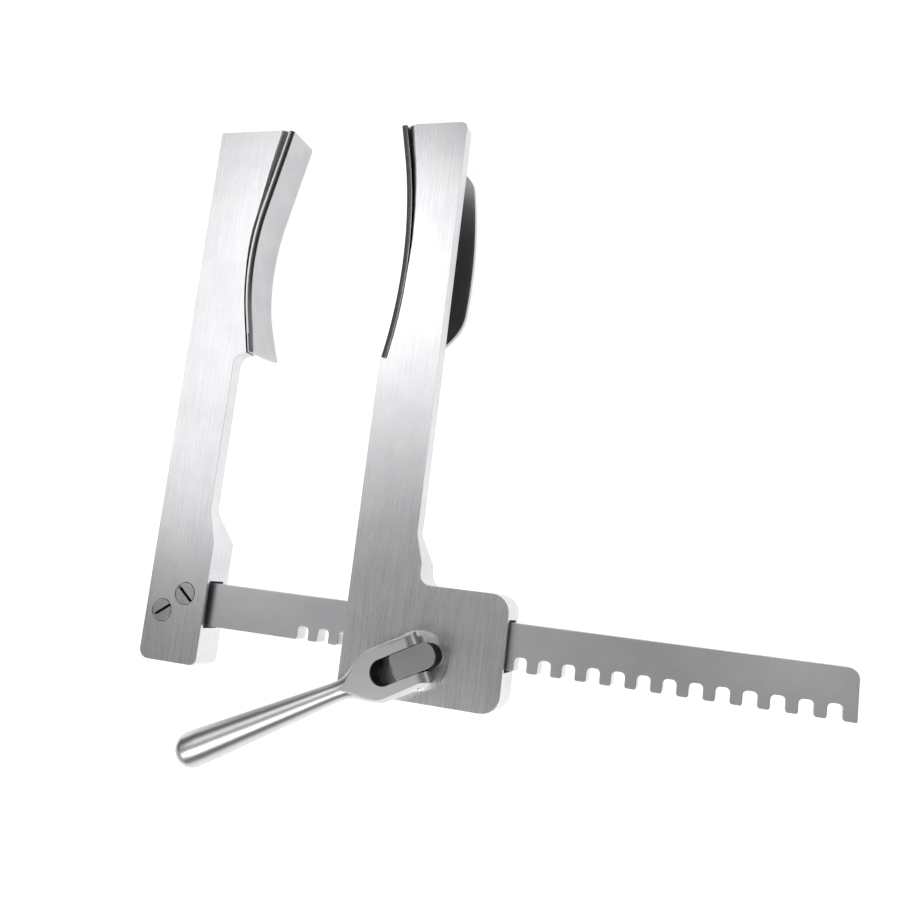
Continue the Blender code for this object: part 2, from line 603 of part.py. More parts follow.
# The spindle: collar, journal and lug in one piece, drilled for the hinge pin and the two drive pins
collar_low = RUN_GAP
collar_top = collar_low + COLLAR_THICKNESS
journal_end = CHANNEL_FRONT + RUN_GAP / 2
crank_spindle = turned("crank_spindle", [(0, collar_top), (COLLAR_RADIUS, collar_top), (COLLAR_RADIUS, collar_low),
                                         (JOURNAL_RADIUS, collar_low), (JOURNAL_RADIUS, journal_end),
                                         (0, journal_end)])


def lug_outline():
    """A tongue with a round end over the collar's rim, cut off square near the crotch."""
    half = LUG_HALF_WIDTH
    return rounded([(LUG_REACH, -half, LUG_CORNER), (LUG_REACH, half, LUG_CORNER),
                    (-LUG_BACK, half, LUG_BACK_ROUND), (-LUG_BACK, -half, LUG_BACK_ROUND)])


lug = hide_cutter(plate("lug", lug_outline(), collar_top - COLLAR_THICKNESS / 2, LUG_TOP, cutters))
soften(lug, LUG_EDGE_ROUND, 2, 50)
lug.parent = turn_axis
combine(crank_spindle, lug, "UNION")


def cross_bore(name, radius, half_length, steps=24):
    """A bore along the hinge pin."""
    bore = round_cutter(name, radius, -half_length, half_length, (0, 0), steps)
    bore.rotation_euler = (math.pi / 2, 0, 0)
    bore.parent = fold_axis
    return bore


combine(crank_spindle, cross_bore("lug_bore", HINGE_PIN_RADIUS + PIN_HOLE_GAP, COLLAR_RADIUS))
pin_front = journal_end + PIN_BLIND_DEPTH
rear_front = COVER_FRONT
rear_back = BODY_BACK + SEAT_GAP
spindle_rear_disc = turned("spindle_rear_disc", [(0, rear_front), (REAR_DISC_RADIUS, rear_front),
                                                 (REAR_DISC_RADIUS, rear_back), (0, rear_back)])
for number, half_turn in enumerate((0.0, 180.0), 1):
    heading = math.radians(PIN_HEADING + half_turn - CRANK_ANGLE)
    spot = (PIN_ORBIT * math.cos(heading), PIN_ORBIT * math.sin(heading))
    bore = round_cutter(f"drive_pin_bore_{number}", PIN_RADIUS + PIN_HOLE_GAP, rear_back - CUT_EXTRA,
                        pin_front + PIN_HOLE_GAP, spot, 20)
    bore.parent = turn_axis
    combine(crank_spindle, bore)
    combine(spindle_rear_disc, bore)
    pin = turned(f"drive_pin_{number}", [(0, pin_front), (PIN_RADIUS, pin_front), (PIN_RADIUS, rear_back),
                                         (0, rear_back)], steps=20)
    pin.location = (*spot, 0)
    finish_part(pin, turn_axis, 0.9)
finish_part(crank_spindle, turn_axis, 0.7)
finish_part(spindle_rear_disc, turn_axis, 0.9)


def fork_outline():
    """The handle's fork from above: two cheeks, the U of the crotch and shoulders drawn in to the neck."""
    tip = -FORK_HALF_THICKNESS
    slot = LUG_HALF_WIDTH + RUN_GAP
    side = [(tip, FORK_TIP_HALF_WIDTH, FORK_TIP_CORNER), (tip, slot, FORK_SLOT_CORNER),
            (FORK_CROTCH, slot, CROTCH_ROUND)]
    back = [(FORK_TANG, FORK_TANG_HALF_WIDTH, 0), (FORK_NECK, NECK_RADIUS, FORK_NECK_ROUND),
            (FORK_SHOULDER, FORK_HALF_WIDTH, FORK_SHOULDER_ROUND)]
    mirrored = [(x, -y, radius) for x, y, radius in reversed(side)]
    mirrored_back = [(x, -y, radius) for x, y, radius in reversed(back)]
    return rounded(back + side + mirrored + mirrored_back, 5)


crank_handle = plate("crank_handle", fork_outline(), -FORK_HALF_THICKNESS, FORK_HALF_THICKNESS)


def grip_profile():
    """The grip's turned line from its rounded end down to the neck that runs into the fork."""
    flat = GRIP_RADIUS - GRIP_END_ROUND
    end = [(flat + GRIP_END_ROUND * math.sin(angle), GRIP_END - GRIP_END_ROUND * (1 - math.cos(angle)))
           for angle in spread(0, math.pi / 2, 8)]
    return [(0, GRIP_END)] + end + [(NECK_RADIUS, GRIP_START), (NECK_RADIUS, NECK_START),
                                    (NECK_NOSE_RADIUS, NECK_START - NECK_NOSE * 0.75), (0, NECK_START - NECK_NOSE)]


grip = hide_cutter(turned("grip", grip_profile(), cutters, 32))
grip.rotation_euler = (0, math.radians(90 - GRIP_RISE), 0)
grip.parent = fold_axis


def tip_side_view():
    """Side view of the fork: its tips are round about the hinge pin."""
    half = FORK_HALF_THICKNESS
    return rounded([(-half, -half, half * 0.999), (-half, half, half * 0.999), (GRIP_END, half, 0),
                    (GRIP_END, -half, 0)], 8)


tip_round = side_plate("tip_round", tip_side_view(), -2 * FORK_HALF_WIDTH, 2 * FORK_HALF_WIDTH)
tip_round.rotation_euler = (0, 0, -math.pi / 2)
tip_round.parent = fold_axis
soften(crank_handle, FORK_EDGE_ROUND, 3, 50)
combine(crank_handle, tip_round, "INTERSECT")
combine(crank_handle, grip, "UNION")
combine(crank_handle, cross_bore("fork_bore", HINGE_PIN_RADIUS + PIN_HOLE_GAP, 2 * FORK_HALF_WIDTH))
finish_part(crank_handle, fold_axis)

pin_half = FORK_TIP_HALF_WIDTH
crank_hinge_pin = turned("crank_hinge_pin", [(0, pin_half), (HINGE_PIN_RADIUS, pin_half),
                                             (HINGE_PIN_RADIUS, -pin_half), (0, -pin_half)], steps=24)
crank_hinge_pin.rotation_euler = (math.pi / 2, 0, 0)
finish_part(crank_hinge_pin, turn_axis)
crank_hinge_pin.location = (0, 0, HINGE_HEIGHT)


def set_down():
    """Move the datum so that the assembly's box stands centred on the origin."""
    bpy.context.view_layer.update()
    graph = bpy.context.evaluated_depsgraph_get()
    corners = []
    for obj in parts.objects:
        if obj.type == "MESH":
            shown = obj.evaluated_get(graph)
            corners += [shown.matrix_world @ vertex.co for vertex in shown.data.vertices]
    low = [min(corner[axis] for corner in corners) for axis in range(3)]
    high = [max(corner[axis] for corner in corners) for axis in range(3)]
    datum.location = (-(low[0] + high[0]) / 2, -(low[1] + high[1]) / 2, -low[2])
    bpy.context.view_layer.update()


set_down()
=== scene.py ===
import json
import math

import bmesh
import bpy
from mathutils import Matrix, Vector


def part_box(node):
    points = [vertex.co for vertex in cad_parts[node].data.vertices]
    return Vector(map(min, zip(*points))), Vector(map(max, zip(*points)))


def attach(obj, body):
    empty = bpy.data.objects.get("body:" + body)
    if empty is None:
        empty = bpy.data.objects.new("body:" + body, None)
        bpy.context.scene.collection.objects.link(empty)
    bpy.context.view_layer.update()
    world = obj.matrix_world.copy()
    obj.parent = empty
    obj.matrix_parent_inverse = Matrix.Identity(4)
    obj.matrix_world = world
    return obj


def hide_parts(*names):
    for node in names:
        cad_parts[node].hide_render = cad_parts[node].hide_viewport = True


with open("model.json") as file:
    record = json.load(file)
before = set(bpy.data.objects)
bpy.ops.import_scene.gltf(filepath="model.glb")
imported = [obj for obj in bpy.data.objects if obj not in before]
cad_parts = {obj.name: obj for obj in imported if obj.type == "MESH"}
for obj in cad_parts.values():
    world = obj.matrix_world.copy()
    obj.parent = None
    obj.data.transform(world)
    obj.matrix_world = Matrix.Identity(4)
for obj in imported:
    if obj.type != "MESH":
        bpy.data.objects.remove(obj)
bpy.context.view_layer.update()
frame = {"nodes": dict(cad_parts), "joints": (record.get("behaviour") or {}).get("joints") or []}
nodes = frame["nodes"]

# Rack bar: the flat rail with a row of arched notches that the sliding arm walks along. Milled from
# stainless bar, its notches broached and its edges broken by hand, then satin finished lengthwise.


def linear(hex_colour):
    """An sRGB hex colour as the linear values that a shader takes."""
    values = [int(hex_colour[i:i + 2], 16) / 255 for i in (1, 3, 5)]
    return tuple(v / 12.92 if v <= 0.04045 else ((v + 0.055) / 1.055) ** 2.4 for v in values) + (1.0,)


def add_node(tree, kind, settings=None, inputs=None, links=None):
    """Add a node, set its own settings and sockets, and link other nodes' outputs into it."""
    node = tree.nodes.new(kind)
    for name, value in (settings or {}).items():
        setattr(node, name, value)
    for name, value in (inputs or {}).items():
        node.inputs[name].default_value = value
    for name, output in (links or {}).items():
        tree.links.new(output, node.inputs[name])
    return node


def satin_stainless(name, colour, stain, roughness, line_step, line_length, line_axis, line_depth):
    """Martensitic stainless steel, finished with fine abrasive lines along one axis. It gives broad soft
    highlights, a slightly cloudy grey and a faint grain; the lines are drawn wider than the real 0.05 mm."""
    material = bpy.data.materials.new(name)
    material.use_nodes = True
    tree = material.node_tree
    shader = tree.nodes["Principled BSDF"]
    shader.inputs["Metallic"].default_value = 1.0
    place = add_node(tree, "ShaderNodeTexCoord")
    stretch = [1 / line_step] * 3
    stretch["XYZ".index(line_axis)] = 1 / line_length
    lines_at = add_node(tree, "ShaderNodeMapping", inputs={"Scale": stretch},
                        links={"Vector": place.outputs["Object"]})
    lines = add_node(tree, "ShaderNodeTexNoise", inputs={"Scale": 1.0, "Detail": 2.0},
                     links={"Vector": lines_at.outputs["Vector"]})
    # the grey's clouds are about 11 mm across
    cloud = add_node(tree, "ShaderNodeTexNoise", inputs={"Scale": 90.0, "Detail": 4.0, "Roughness": 0.55},
                     links={"Vector": place.outputs["Object"]})
    tone = add_node(tree, "ShaderNodeMapRange", inputs={"From Min": 0.35, "From Max": 0.7},
                    links={"Value": cloud.outputs["Fac"]})
    shade = add_node(tree, "ShaderNodeMix", {"data_type": "RGBA"}, {"A": linear(colour), "B": linear(stain)},
                     {"Factor": tone.outputs["Result"]})
    rough_lines = add_node(tree, "ShaderNodeMapRange",
                           inputs={"From Min": 0.3, "From Max": 0.7,
                                   "To Min": roughness - 0.02, "To Max": roughness + 0.03},
                           links={"Value": lines.outputs["Fac"]})
    bump = add_node(tree, "ShaderNodeBump", inputs={"Strength": 0.08, "Distance": line_depth},
                    links={"Height": lines.outputs["Fac"]})
    tree.links.new(shade.outputs["Result"], shader.inputs["Base Color"])
    tree.links.new(rough_lines.outputs["Result"], shader.inputs["Roughness"])
    tree.links.new(bump.outputs["Normal"], shader.inputs["Normal"])
    return material


def select_only(piece=None):
    """Select one piece, or nothing before a new one is added, since an operator acts on what is selected."""
    bpy.ops.object.select_all(action="DESELECT")
    if piece:
        piece.select_set(True)
        bpy.context.view_layer.objects.active = piece


def take_up(name, node):
    """Start a piece from the CAD solid's shape: its own mesh, welded, its flats cleared of triangle lines."""
    piece = bpy.data.objects.new(name, nodes[node].data.copy())
    bpy.context.scene.collection.objects.link(piece)
    select_only(piece)
    bpy.ops.mesh.customdata_custom_splitnormals_clear()
    bpy.ops.object.mode_set(mode="EDIT")
    bpy.ops.mesh.select_all(action="SELECT")
    bpy.ops.mesh.remove_doubles(threshold=1e-6)
    bpy.ops.mesh.dissolve_limited(angle_limit=math.radians(0.5))
    bpy.ops.object.mode_set(mode="OBJECT")
    piece.data.materials.clear()
    return piece


def smooth_rounds(piece):
    """Shade the rounded faces smooth and the flats flat, with their sharp edges kept."""
    select_only(piece)
    bpy.ops.object.shade_smooth_by_angle(angle=math.radians(50))
    flats = piece.modifiers.new("Flats", "WEIGHTED_NORMAL")
    flats.keep_sharp = True
    bpy.ops.object.modifier_apply(modifier=flats.name)


def break_edges(piece, width, segments=2, angle=40):
    """Round every edge sharper than an angle in degrees, as a file and a polishing wheel do."""
    select_only(piece)
    edges = piece.modifiers.new("Edges", "BEVEL")
    edges.width = width
    edges.segments = segments
    edges.limit_method = "ANGLE"
    edges.angle_limit = math.radians(angle)
    edges.use_clamp_overlap = False
    bpy.ops.object.modifier_apply(modifier=edges.name)
    smooth_rounds(piece)


def hand_over(piece, material, body, slot, *replaced):
    """Give the piece its finish and put it in its CAD node's place."""
    piece.data.materials.append(material)
    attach(piece, body)
    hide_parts(*replaced)


rack_steel = satin_stainless("rack_satin_stainless", "#d4d4d6", "#cccccf", roughness=0.32,
                             line_step=0.00022, line_length=0.012, line_axis="X", line_depth=0.000006)
rack = take_up("rack", "rack_bar")
break_edges(rack, 0.00015)
hand_over(rack, rack_steel, "frame", "rack_steel", "rack_bar")

# Fixed arm: a drop-forged stainless bar that thickens at its foot into the block which holds the
# rack's end. Its faces are ground flat, its long edges rolled over, and the whole satin finished.

arm_steel = satin_stainless("arm_satin_stainless", "#dcdcde", "#d4d4d7", roughness=0.28,
                            line_step=0.00022, line_length=0.012, line_axis="Y", line_depth=0.000006)
left_arm = take_up("left_arm", "fixed_arm")
smooth_rounds(left_arm)
hand_over(left_arm, arm_steel, "frame", "arm_steel", "fixed_arm")

# Rack screws: two slotted countersunk screws that hold the rack in the block's mortise. Turned
# stainless, the slots sawn, set just under the face and dressed flush with it.


def paint_shade_dark(material, mask):
    """Painted shade: a dull, almost black colour and a rougher gloss, mixed into the steel where mask is 1,
    so that slots, creases and hollows read as dark.
    """
    tree = material.node_tree
    shader = tree.nodes["Principled BSDF"]
    # the almost black colour below is painted shade, not a colour the steel has
    for socket, kind, painted_dark in (("Base Color", "RGBA", linear("#242322")), ("Roughness", "FLOAT", 0.55)):
        polished = shader.inputs[socket].links[0].from_socket
        shade_mixed = add_node(tree, "ShaderNodeMix", {"data_type": kind}, {"B": painted_dark},
                           {"Factor": mask, "A": polished})
        tree.links.new(shade_mixed.outputs["Result"], shader.inputs[socket])


def paint_shade_below(material, level, fade, sign=1):
    """Paint shade, dark, on what lies deeper than a level, such as the floor of a sawn slot. The screw's face
    looks along +Z where sign is 1, and along -Z where it is -1."""
    tree = material.node_tree
    place = add_node(tree, "ShaderNodeTexCoord")
    height = add_node(tree, "ShaderNodeSeparateXYZ", links={"Vector": place.outputs["Object"]})
    deep = add_node(tree, "ShaderNodeMapRange", inputs={"From Min": level, "From Max": level - sign * fade},
                    links={"Value": height.outputs["Z"]})
    paint_shade_dark(material, deep.outputs["Result"])


def cut_away(piece, cutter, kind="DIFFERENCE"):
    """Take a cutter's shape out of a piece and throw the cutter away."""
    select_only(piece)
    cut = piece.modifiers.new("Cut", "BOOLEAN")
    cut.operation = kind
    cut.object = cutter
    bpy.ops.object.modifier_apply(modifier=cut.name)
    bpy.data.objects.remove(cutter, do_unlink=True)


def slotted_screw(name, node, shank, slot_turn, faces_back=False):
    """A countersunk head on a shank: a cylinder widened to the head's rim, the rim broken, its slot sawn."""
    low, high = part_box(node)
    middle = (low + high) / 2
    head = (high.x - low.x) / 2
    cone = head - shank
    shaft = high.z - low.z - cone
    rim_depth, rim_height = 0.0003, 0.0002
    break_width, break_height = 0.0001, 0.00008
    select_only()
    bpy.ops.mesh.primitive_cylinder_add(vertices=48, radius=shank, depth=shaft,
                                        location=(0, 0, -cone - shaft / 2))
    screw = bpy.context.object
    screw.name = name
    bpy.ops.object.transform_apply(location=True)
    bpy.ops.object.mode_set(mode="EDIT")
    bpy.ops.mesh.select_all(action="DESELECT")
    bpy.ops.object.mode_set(mode="OBJECT")
    for face in screw.data.polygons:
        face.select = face.normal.z > 0.9
    bpy.ops.object.mode_set(mode="EDIT")
    bpy.ops.mesh.extrude_region_move(TRANSFORM_OT_translate={"value": (0, 0, cone - rim_depth)})
    widened = (head - break_width) / shank
    bpy.ops.transform.resize(value=(widened, widened, 1), center_override=(0, 0, 0))
    bpy.ops.mesh.extrude_region_move(TRANSFORM_OT_translate={"value": (0, 0, rim_height)})
    bpy.ops.mesh.inset(thickness=break_width)
    bpy.ops.transform.translate(value=(0, 0, break_height))
    bpy.ops.object.mode_set(mode="OBJECT")
    slot_width, slot_depth = head * 0.27, head * 0.25
    select_only()
    bpy.ops.mesh.primitive_cube_add(size=1, location=(0, 0, 0), rotation=(0, 0, math.radians(slot_turn)),
                                    scale=(head * 3, slot_width, slot_depth * 2))
    cut_away(screw, bpy.context.object)
    screw.location = (middle.x, middle.y, low.z if faces_back else high.z)
    screw.rotation_euler = (math.pi if faces_back else 0, 0, 0)
    bpy.ops.object.transform_apply(location=True, rotation=True)
    smooth_rounds(screw)
    return screw


screw_steel = satin_stainless("screw_turned_stainless", "#c4c4c6", "#b4b4b7", roughness=0.3,
                              line_step=0.0002, line_length=0.0002, line_axis="Z", line_depth=0.000004)
rack_screw_steel = screw_steel.copy()
# painted shade: the slots' floors, below a level just under the head's face, are painted dark
paint_shade_below(rack_screw_steel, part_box("rack_screw_upper")[1].z - 0.0003, fade=0.0002)
upper_screw = slotted_screw("upper_rack_screw", "rack_screw_upper", shank=0.0014, slot_turn=140)
hand_over(upper_screw, rack_screw_steel, "frame", "screw_steel", "rack_screw_upper")
lower_screw = slotted_screw("lower_rack_screw", "rack_screw_lower", shank=0.0014, slot_turn=35)
hand_over(lower_screw, rack_screw_steel, "frame", "screw_steel", "rack_screw_lower")

# Fixed blade: a hook of stainless plate, pressed to its curve and brazed along the arm's inner edge.
# Polished smoother than the arms, with its edges rounded so that they don't cut.

blade_steel = satin_stainless("blade_polished_stainless", "#c4c4c6", "#bababc", roughness=0.24,
                              line_step=0.00022, line_length=0.008, line_axis="Y", line_depth=0.000004)


def grind_top(blade, facing, drop, chamfer):
    """Slant the blade's upper edge down to one side, +X or -X, and chamfer that side all along."""
    faces_that_way = 0.7
    select_only(blade)
    top = max(vertex.co.z for vertex in blade.data.vertices)
    bpy.ops.object.mode_set(mode="EDIT")
    bpy.ops.mesh.select_all(action="DESELECT")
    bm = bmesh.from_edit_mesh(blade.data)
    lids = [face for face in bm.faces if all(vertex.co.z > top - 1e-5 for vertex in face.verts)]
    bmesh.ops.delete(bm, geom=lids, context="FACES_ONLY")
    lowered = set()
    for edge in bm.edges:
        if len(edge.link_faces) == 1 and abs(edge.link_faces[0].normal.x) > faces_that_way:
            edge.select_set(True)
            if edge.link_faces[0].normal.x * facing > 0:
                lowered.update(edge.verts)
    for vertex in lowered:
        vertex.co.z -= drop
    bmesh.update_edit_mesh(blade.data)
    bpy.ops.mesh.bridge_edge_loops()
    bpy.ops.mesh.select_all(action="SELECT")
    bpy.ops.mesh.normals_make_consistent(inside=False)
    bpy.ops.mesh.select_all(action="DESELECT")
    bm = bmesh.from_edit_mesh(blade.data)
    for edge in bm.edges:
        at_lower_side = all(abs(vertex.co.z - top + drop) < 1e-6 for vertex in edge.verts)
        sides = [face.normal for face in edge.link_faces]
        if at_lower_side and len(sides) == 2 and max(abs(side.z) for side in sides) > faces_that_way:
            if max(side.x * facing for side in sides) > faces_that_way:
                edge.select_set(True)
    bmesh.update_edit_mesh(blade.data)
    bpy.ops.mesh.bevel(offset=chamfer, offset_type="OFFSET", segments=1, affect="EDGES")
    bpy.ops.object.mode_set(mode="OBJECT")


left_blade = take_up("left_blade", "fixed_blade")
grind_top(left_blade, facing=1, drop=0.00035, chamfer=0.00075)
break_edges(left_blade, 0.0003, segments=3, angle=38)
hand_over(left_blade, blade_steel, "frame", "blade_steel", "fixed_blade")

# Sliding arm: the second forged bar, in one piece with the housing that is bored and slotted to
# slide along the rack. Ground flat in front, with rolled edges, and satin finished like its pair.

right_arm = take_up("right_arm", "sliding_arm")
smooth_rounds(right_arm)
hand_over(right_arm, arm_steel, "slider", "arm_steel", "sliding_arm")

# Sliding blade: the other hook of stainless plate, curved the opposite way and brazed to the sliding arm.
# Polished like its pair, but the narrow crease beside the arm is painted dark as shade.

right_blade = take_up("right_blade", "sliding_blade")
grind_top(right_blade, facing=-1, drop=0.00048, chamfer=0.0001)
break_edges(right_blade, 0.00016, segments=2, angle=38)
right_blade_steel = blade_steel.copy()
blade_tree = right_blade_steel.node_tree
blade_place = add_node(blade_tree, "ShaderNodeTexCoord")
blade_facing = add_node(blade_tree, "ShaderNodeSeparateXYZ", links={"Vector": blade_place.outputs["Normal"]})
blade_height = add_node(blade_tree, "ShaderNodeSeparateXYZ", links={"Vector": blade_place.outputs["Object"]})
# painted shade: the blade's faces toward the arm, above the arm's back face, are painted dark
toward_arm = add_node(blade_tree, "ShaderNodeMapRange", inputs={"From Min": 0.5, "From Max": 0.8},
                      links={"Value": blade_facing.outputs["X"]})
# the arm's back face is at about this height, in metres
beside_arm = add_node(blade_tree, "ShaderNodeMapRange", inputs={"From Min": 0.0108, "From Max": 0.0112},
                      links={"Value": blade_height.outputs["Z"]})
crease_shade = add_node(blade_tree, "ShaderNodeMath", {"operation": "MULTIPLY"},
                     links={0: toward_arm.outputs["Result"], 1: beside_arm.outputs["Result"]})
paint_shade_dark(right_blade_steel, crease_shade.outputs["Value"])
hand_over(right_blade, right_blade_steel, "slider", "blade_steel", "sliding_blade")

# Housing cover: a plate let into the housing's back, which shuts the rack channel and carries the
# spindle's rear disc. Sheared from stainless plate, its edges chamfered, held by four small screws.

cover_steel = satin_stainless("cover_satin_stainless", "#bcbcbe", "#b4b4b7", roughness=0.36,
                              line_step=0.00022, line_length=0.012, line_axis="X", line_depth=0.000006)
cover = take_up("cover_plate", "housing_cover")
break_edges(cover, 0.00008)
hand_over(cover, cover_steel, "slider", "cover_steel", "housing_cover")
cover_screw_steel = screw_steel.copy()
# painted shade: the slots' floors on these back-facing heads are painted dark
paint_shade_below(cover_screw_steel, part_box("cover_screw_1")[0].z + 0.0002, fade=0.00015, sign=-1)
for number, turn in enumerate((25, 100, 160, 70), 1):
    small_screw = slotted_screw(f"cover_plate_screw_{number}", f"cover_screw_{number}", shank=0.0009,
                                slot_turn=turn, faces_back=True)
    hand_over(small_screw, cover_screw_steel, "slider", "screw_steel", f"cover_screw_{number}")

# Spindle: collar, journal and lug turned and milled from one stainless blank, and the rear disc on its
# other end. The collar bears on the housing's face, and the lug carries the crank's hinge pin.

spindle_axis = Vector(next(joint for joint in frame["joints"] if joint["name"] == "crank_turn")["pos_m"])
under_collar, over_collar = 0.0150, 0.0168  # heights just clear of its two faces
lug_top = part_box("crank_spindle")[1].z
ring_step = 0.00018  # drawn wider than the tool's real feed, so that the rings show


def turned_rings(material, ring_depth, low, high):
    """The lathe tool's fine rings round the spindle's axis, on the faces that lie between two heights. They
    spread each highlight into a fan."""
    tree = material.node_tree
    place = add_node(tree, "ShaderNodeTexCoord")
    flat = add_node(tree, "ShaderNodeVectorMath", {"operation": "MULTIPLY"}, {1: (1.0, 1.0, 0.0)},
                    {0: place.outputs["Object"]})
    radius = add_node(tree, "ShaderNodeVectorMath", {"operation": "DISTANCE"},
                      {1: (spindle_axis.x, spindle_axis.y, 0.0)}, {0: flat.outputs["Vector"]})
    turns = add_node(tree, "ShaderNodeMath", {"operation": "MULTIPLY"}, {1: 2 * math.pi / ring_step},
                     {0: radius.outputs["Value"]})
    wave = add_node(tree, "ShaderNodeMath", {"operation": "SINE"}, links={0: turns.outputs["Value"]})
    height = add_node(tree, "ShaderNodeSeparateXYZ", links={"Vector": place.outputs["Object"]})
    above = add_node(tree, "ShaderNodeMath", {"operation": "GREATER_THAN"}, {1: low},
                     {0: height.outputs["Z"]})
    below = add_node(tree, "ShaderNodeMath", {"operation": "LESS_THAN"}, {1: high},
                     {0: height.outputs["Z"]})
    turned = add_node(tree, "ShaderNodeMath", {"operation": "MULTIPLY"},
                      links={0: above.outputs["Value"], 1: below.outputs["Value"]})
    ridges = add_node(tree, "ShaderNodeMath", {"operation": "MULTIPLY"},
                      links={0: turned.outputs["Value"], 1: wave.outputs["Value"]})
    brushed = tree.nodes["Bump"]
    rings = add_node(tree, "ShaderNodeBump", inputs={"Strength": 1.0, "Distance": ring_depth},
                     links={"Height": ridges.outputs["Value"], "Normal": brushed.outputs["Normal"]})
    tree.links.new(rings.outputs["Normal"], tree.nodes["Principled BSDF"].inputs["Normal"])


spindle_steel = satin_stainless("spindle_turned_stainless", "#d6d6d8", "#cacacd", roughness=0.24,
                                line_step=0.0002, line_length=0.004, line_axis="Z", line_depth=0.000004)
turned_rings(spindle_steel, 0.0000075, under_collar, over_collar)
spindle_tree = spindle_steel.node_tree
spindle_place = add_node(spindle_tree, "ShaderNodeTexCoord")
spindle_height = add_node(spindle_tree, "ShaderNodeSeparateXYZ",
                          links={"Vector": spindle_place.outputs["Object"]})
# painted shade: the lug's sides, from the collar up to just under the lug's top, are painted dark
above_collar = add_node(spindle_tree, "ShaderNodeMapRange", {"interpolation_type": "SMOOTHSTEP"},
                        {"From Min": over_collar - 0.0002, "From Max": over_collar + 0.0002},
                        {"Value": spindle_height.outputs["Z"]})
below_top = add_node(spindle_tree, "ShaderNodeMapRange", {"interpolation_type": "SMOOTHSTEP"},
                     {"From Min": lug_top - 0.0012, "From Max": lug_top - 0.0005,
                      "To Min": 1.0, "To Max": 0.0},
                     {"Value": spindle_height.outputs["Z"]})
lug_side_shade = add_node(spindle_tree, "ShaderNodeMath", {"operation": "MULTIPLY"},
                     links={0: above_collar.outputs["Result"], 1: below_top.outputs["Result"]})
paint_shade_dark(spindle_steel, lug_side_shade.outputs["Value"])
spindle = take_up("spindle", "crank_spindle")
smooth_rounds(spindle)
hand_over(spindle, spindle_steel, "spindle", "spindle_steel", "crank_spindle")
disc_steel = satin_stainless("disc_turned_stainless", "#c4c4c6", "#b8b8bb", roughness=0.24,
                             line_step=0.0002, line_length=0.004, line_axis="Z", line_depth=0.000004)
turned_rings(disc_steel, 0.000005, 0.0, over_collar)
disc = take_up("rear_disc", "spindle_rear_disc")
break_edges(disc, 0.00007)
hand_over(disc, disc_steel, "spindle", "spindle_steel", "spindle_rear_disc")

# Drive pins: two hardened and ground stainless pins, opposite each other, that step along the rack's
# notches. Their ends are chamfered and riveted in the rear disc; they mirror more sharply than the rest.

pin_steel = satin_stainless("pin_ground_stainless", "#c0c0c2", "#b8b8bb", roughness=0.2,
                            line_step=0.0002, line_length=0.004, line_axis="Z", line_depth=0.000003)
for number in (1, 2):
    drive_pin = take_up(f"drive_pin_{number}_ground", f"drive_pin_{number}")
    break_edges(drive_pin, 0.00015)
    hand_over(drive_pin, pin_steel, "spindle", "pin_steel", f"drive_pin_{number}")

# Crank: the folding handle. A forged and turned grip tapers down to a round neck, which spreads into
# a fork with milled flats; the fork's cheeks straddle the lug. Brushed to an even satin by hand.

crank_fold = next(joint for joint in frame["joints"] if joint["name"] == "crank_fold")
hinge = Vector(crank_fold["pos_m"])
upward = Vector((0, 0, 1))
across = Vector(crank_fold["axis"]) * -1
along = across.cross(upward)
crank_place = Matrix.Translation(hinge) @ Matrix((along, across, upward)).transposed().to_4x4()
fork_half = 0.0032
flat_end = 0.0203
slot_half = 0.00355
crotch = 0.0116
cheek_end = 0.004
bore_radius = 0.00155
grip_rise = math.radians(2.0)
crank_sides = 48
# stations along the handle from the hinge pin: place, half width, half height
stations = (
    (-0.0032, 0.0070, 0.0060), (cheek_end, 0.0073, 0.0060), (0.0096, 0.0073, 0.0060),
    (0.0116, 0.00715, 0.0058), (0.0137, 0.00635, 0.0050), (0.0156, 0.00535, 0.0041),
    (0.0175, 0.0041, 0.0033), (0.0188, 0.0034, 0.0029), (0.0202, 0.00285, 0.00272),
    (0.0218, 0.0027, 0.0027), (0.0235, 0.0027, 0.0027), (0.045, 0.00385, 0.00385),
    (0.0640, 0.0049, 0.0049), (0.0688, 0.0050, 0.0050), (0.0705, 0.0044, 0.0044),
    (0.0717, 0.0033, 0.0033), (0.0722, 0.0015, 0.0015))
select_only()
bpy.ops.mesh.primitive_circle_add(vertices=crank_sides, radius=1.0, fill_type="NGON",
                                  rotation=(0, math.pi / 2, 0))
crank = bpy.context.object
crank.name = "crank"
bpy.ops.object.transform_apply(rotation=True)
bpy.ops.object.mode_set(mode="EDIT")
bpy.ops.mesh.select_all(action="SELECT")
x_now, half_now, height_now = stations[0]
bpy.ops.transform.resize(value=(1, half_now, height_now), center_override=(0, 0, 0))
bpy.ops.transform.translate(value=(x_now, 0, 0))
for x, half, height in stations[1:]:
    lift = (x - x_now) * math.tan(grip_rise) if x > cheek_end else 0.0
    bpy.ops.mesh.extrude_region_move(TRANSFORM_OT_translate={"value": (x - x_now, 0, lift)})
    bm = bmesh.from_edit_mesh(crank.data)
    middle = sum((vertex.co for vertex in bm.verts if vertex.select), Vector()) / crank_sides
    bpy.ops.transform.resize(value=(1, half / half_now, height / height_now), center_override=middle)
    x_now, half_now, height_now = x, half, height
bpy.ops.mesh.select_all(action="SELECT")
bpy.ops.mesh.normals_make_consistent(inside=False)
bpy.ops.object.mode_set(mode="OBJECT")

# the fork's two flats are milled down to where the neck grows out of them
slab_start, slab_width, slab_height = -0.02, 0.03, 0.01
for side in (1, -1):
    select_only()
    bpy.ops.mesh.primitive_cube_add(
        size=1, location=((flat_end + slab_start) / 2, 0, side * (fork_half + slab_height / 2)),
        scale=(flat_end - slab_start, slab_width, slab_height))
    bpy.ops.object.transform_apply(location=True, scale=True)
    cut_away(crank, bpy.context.object)

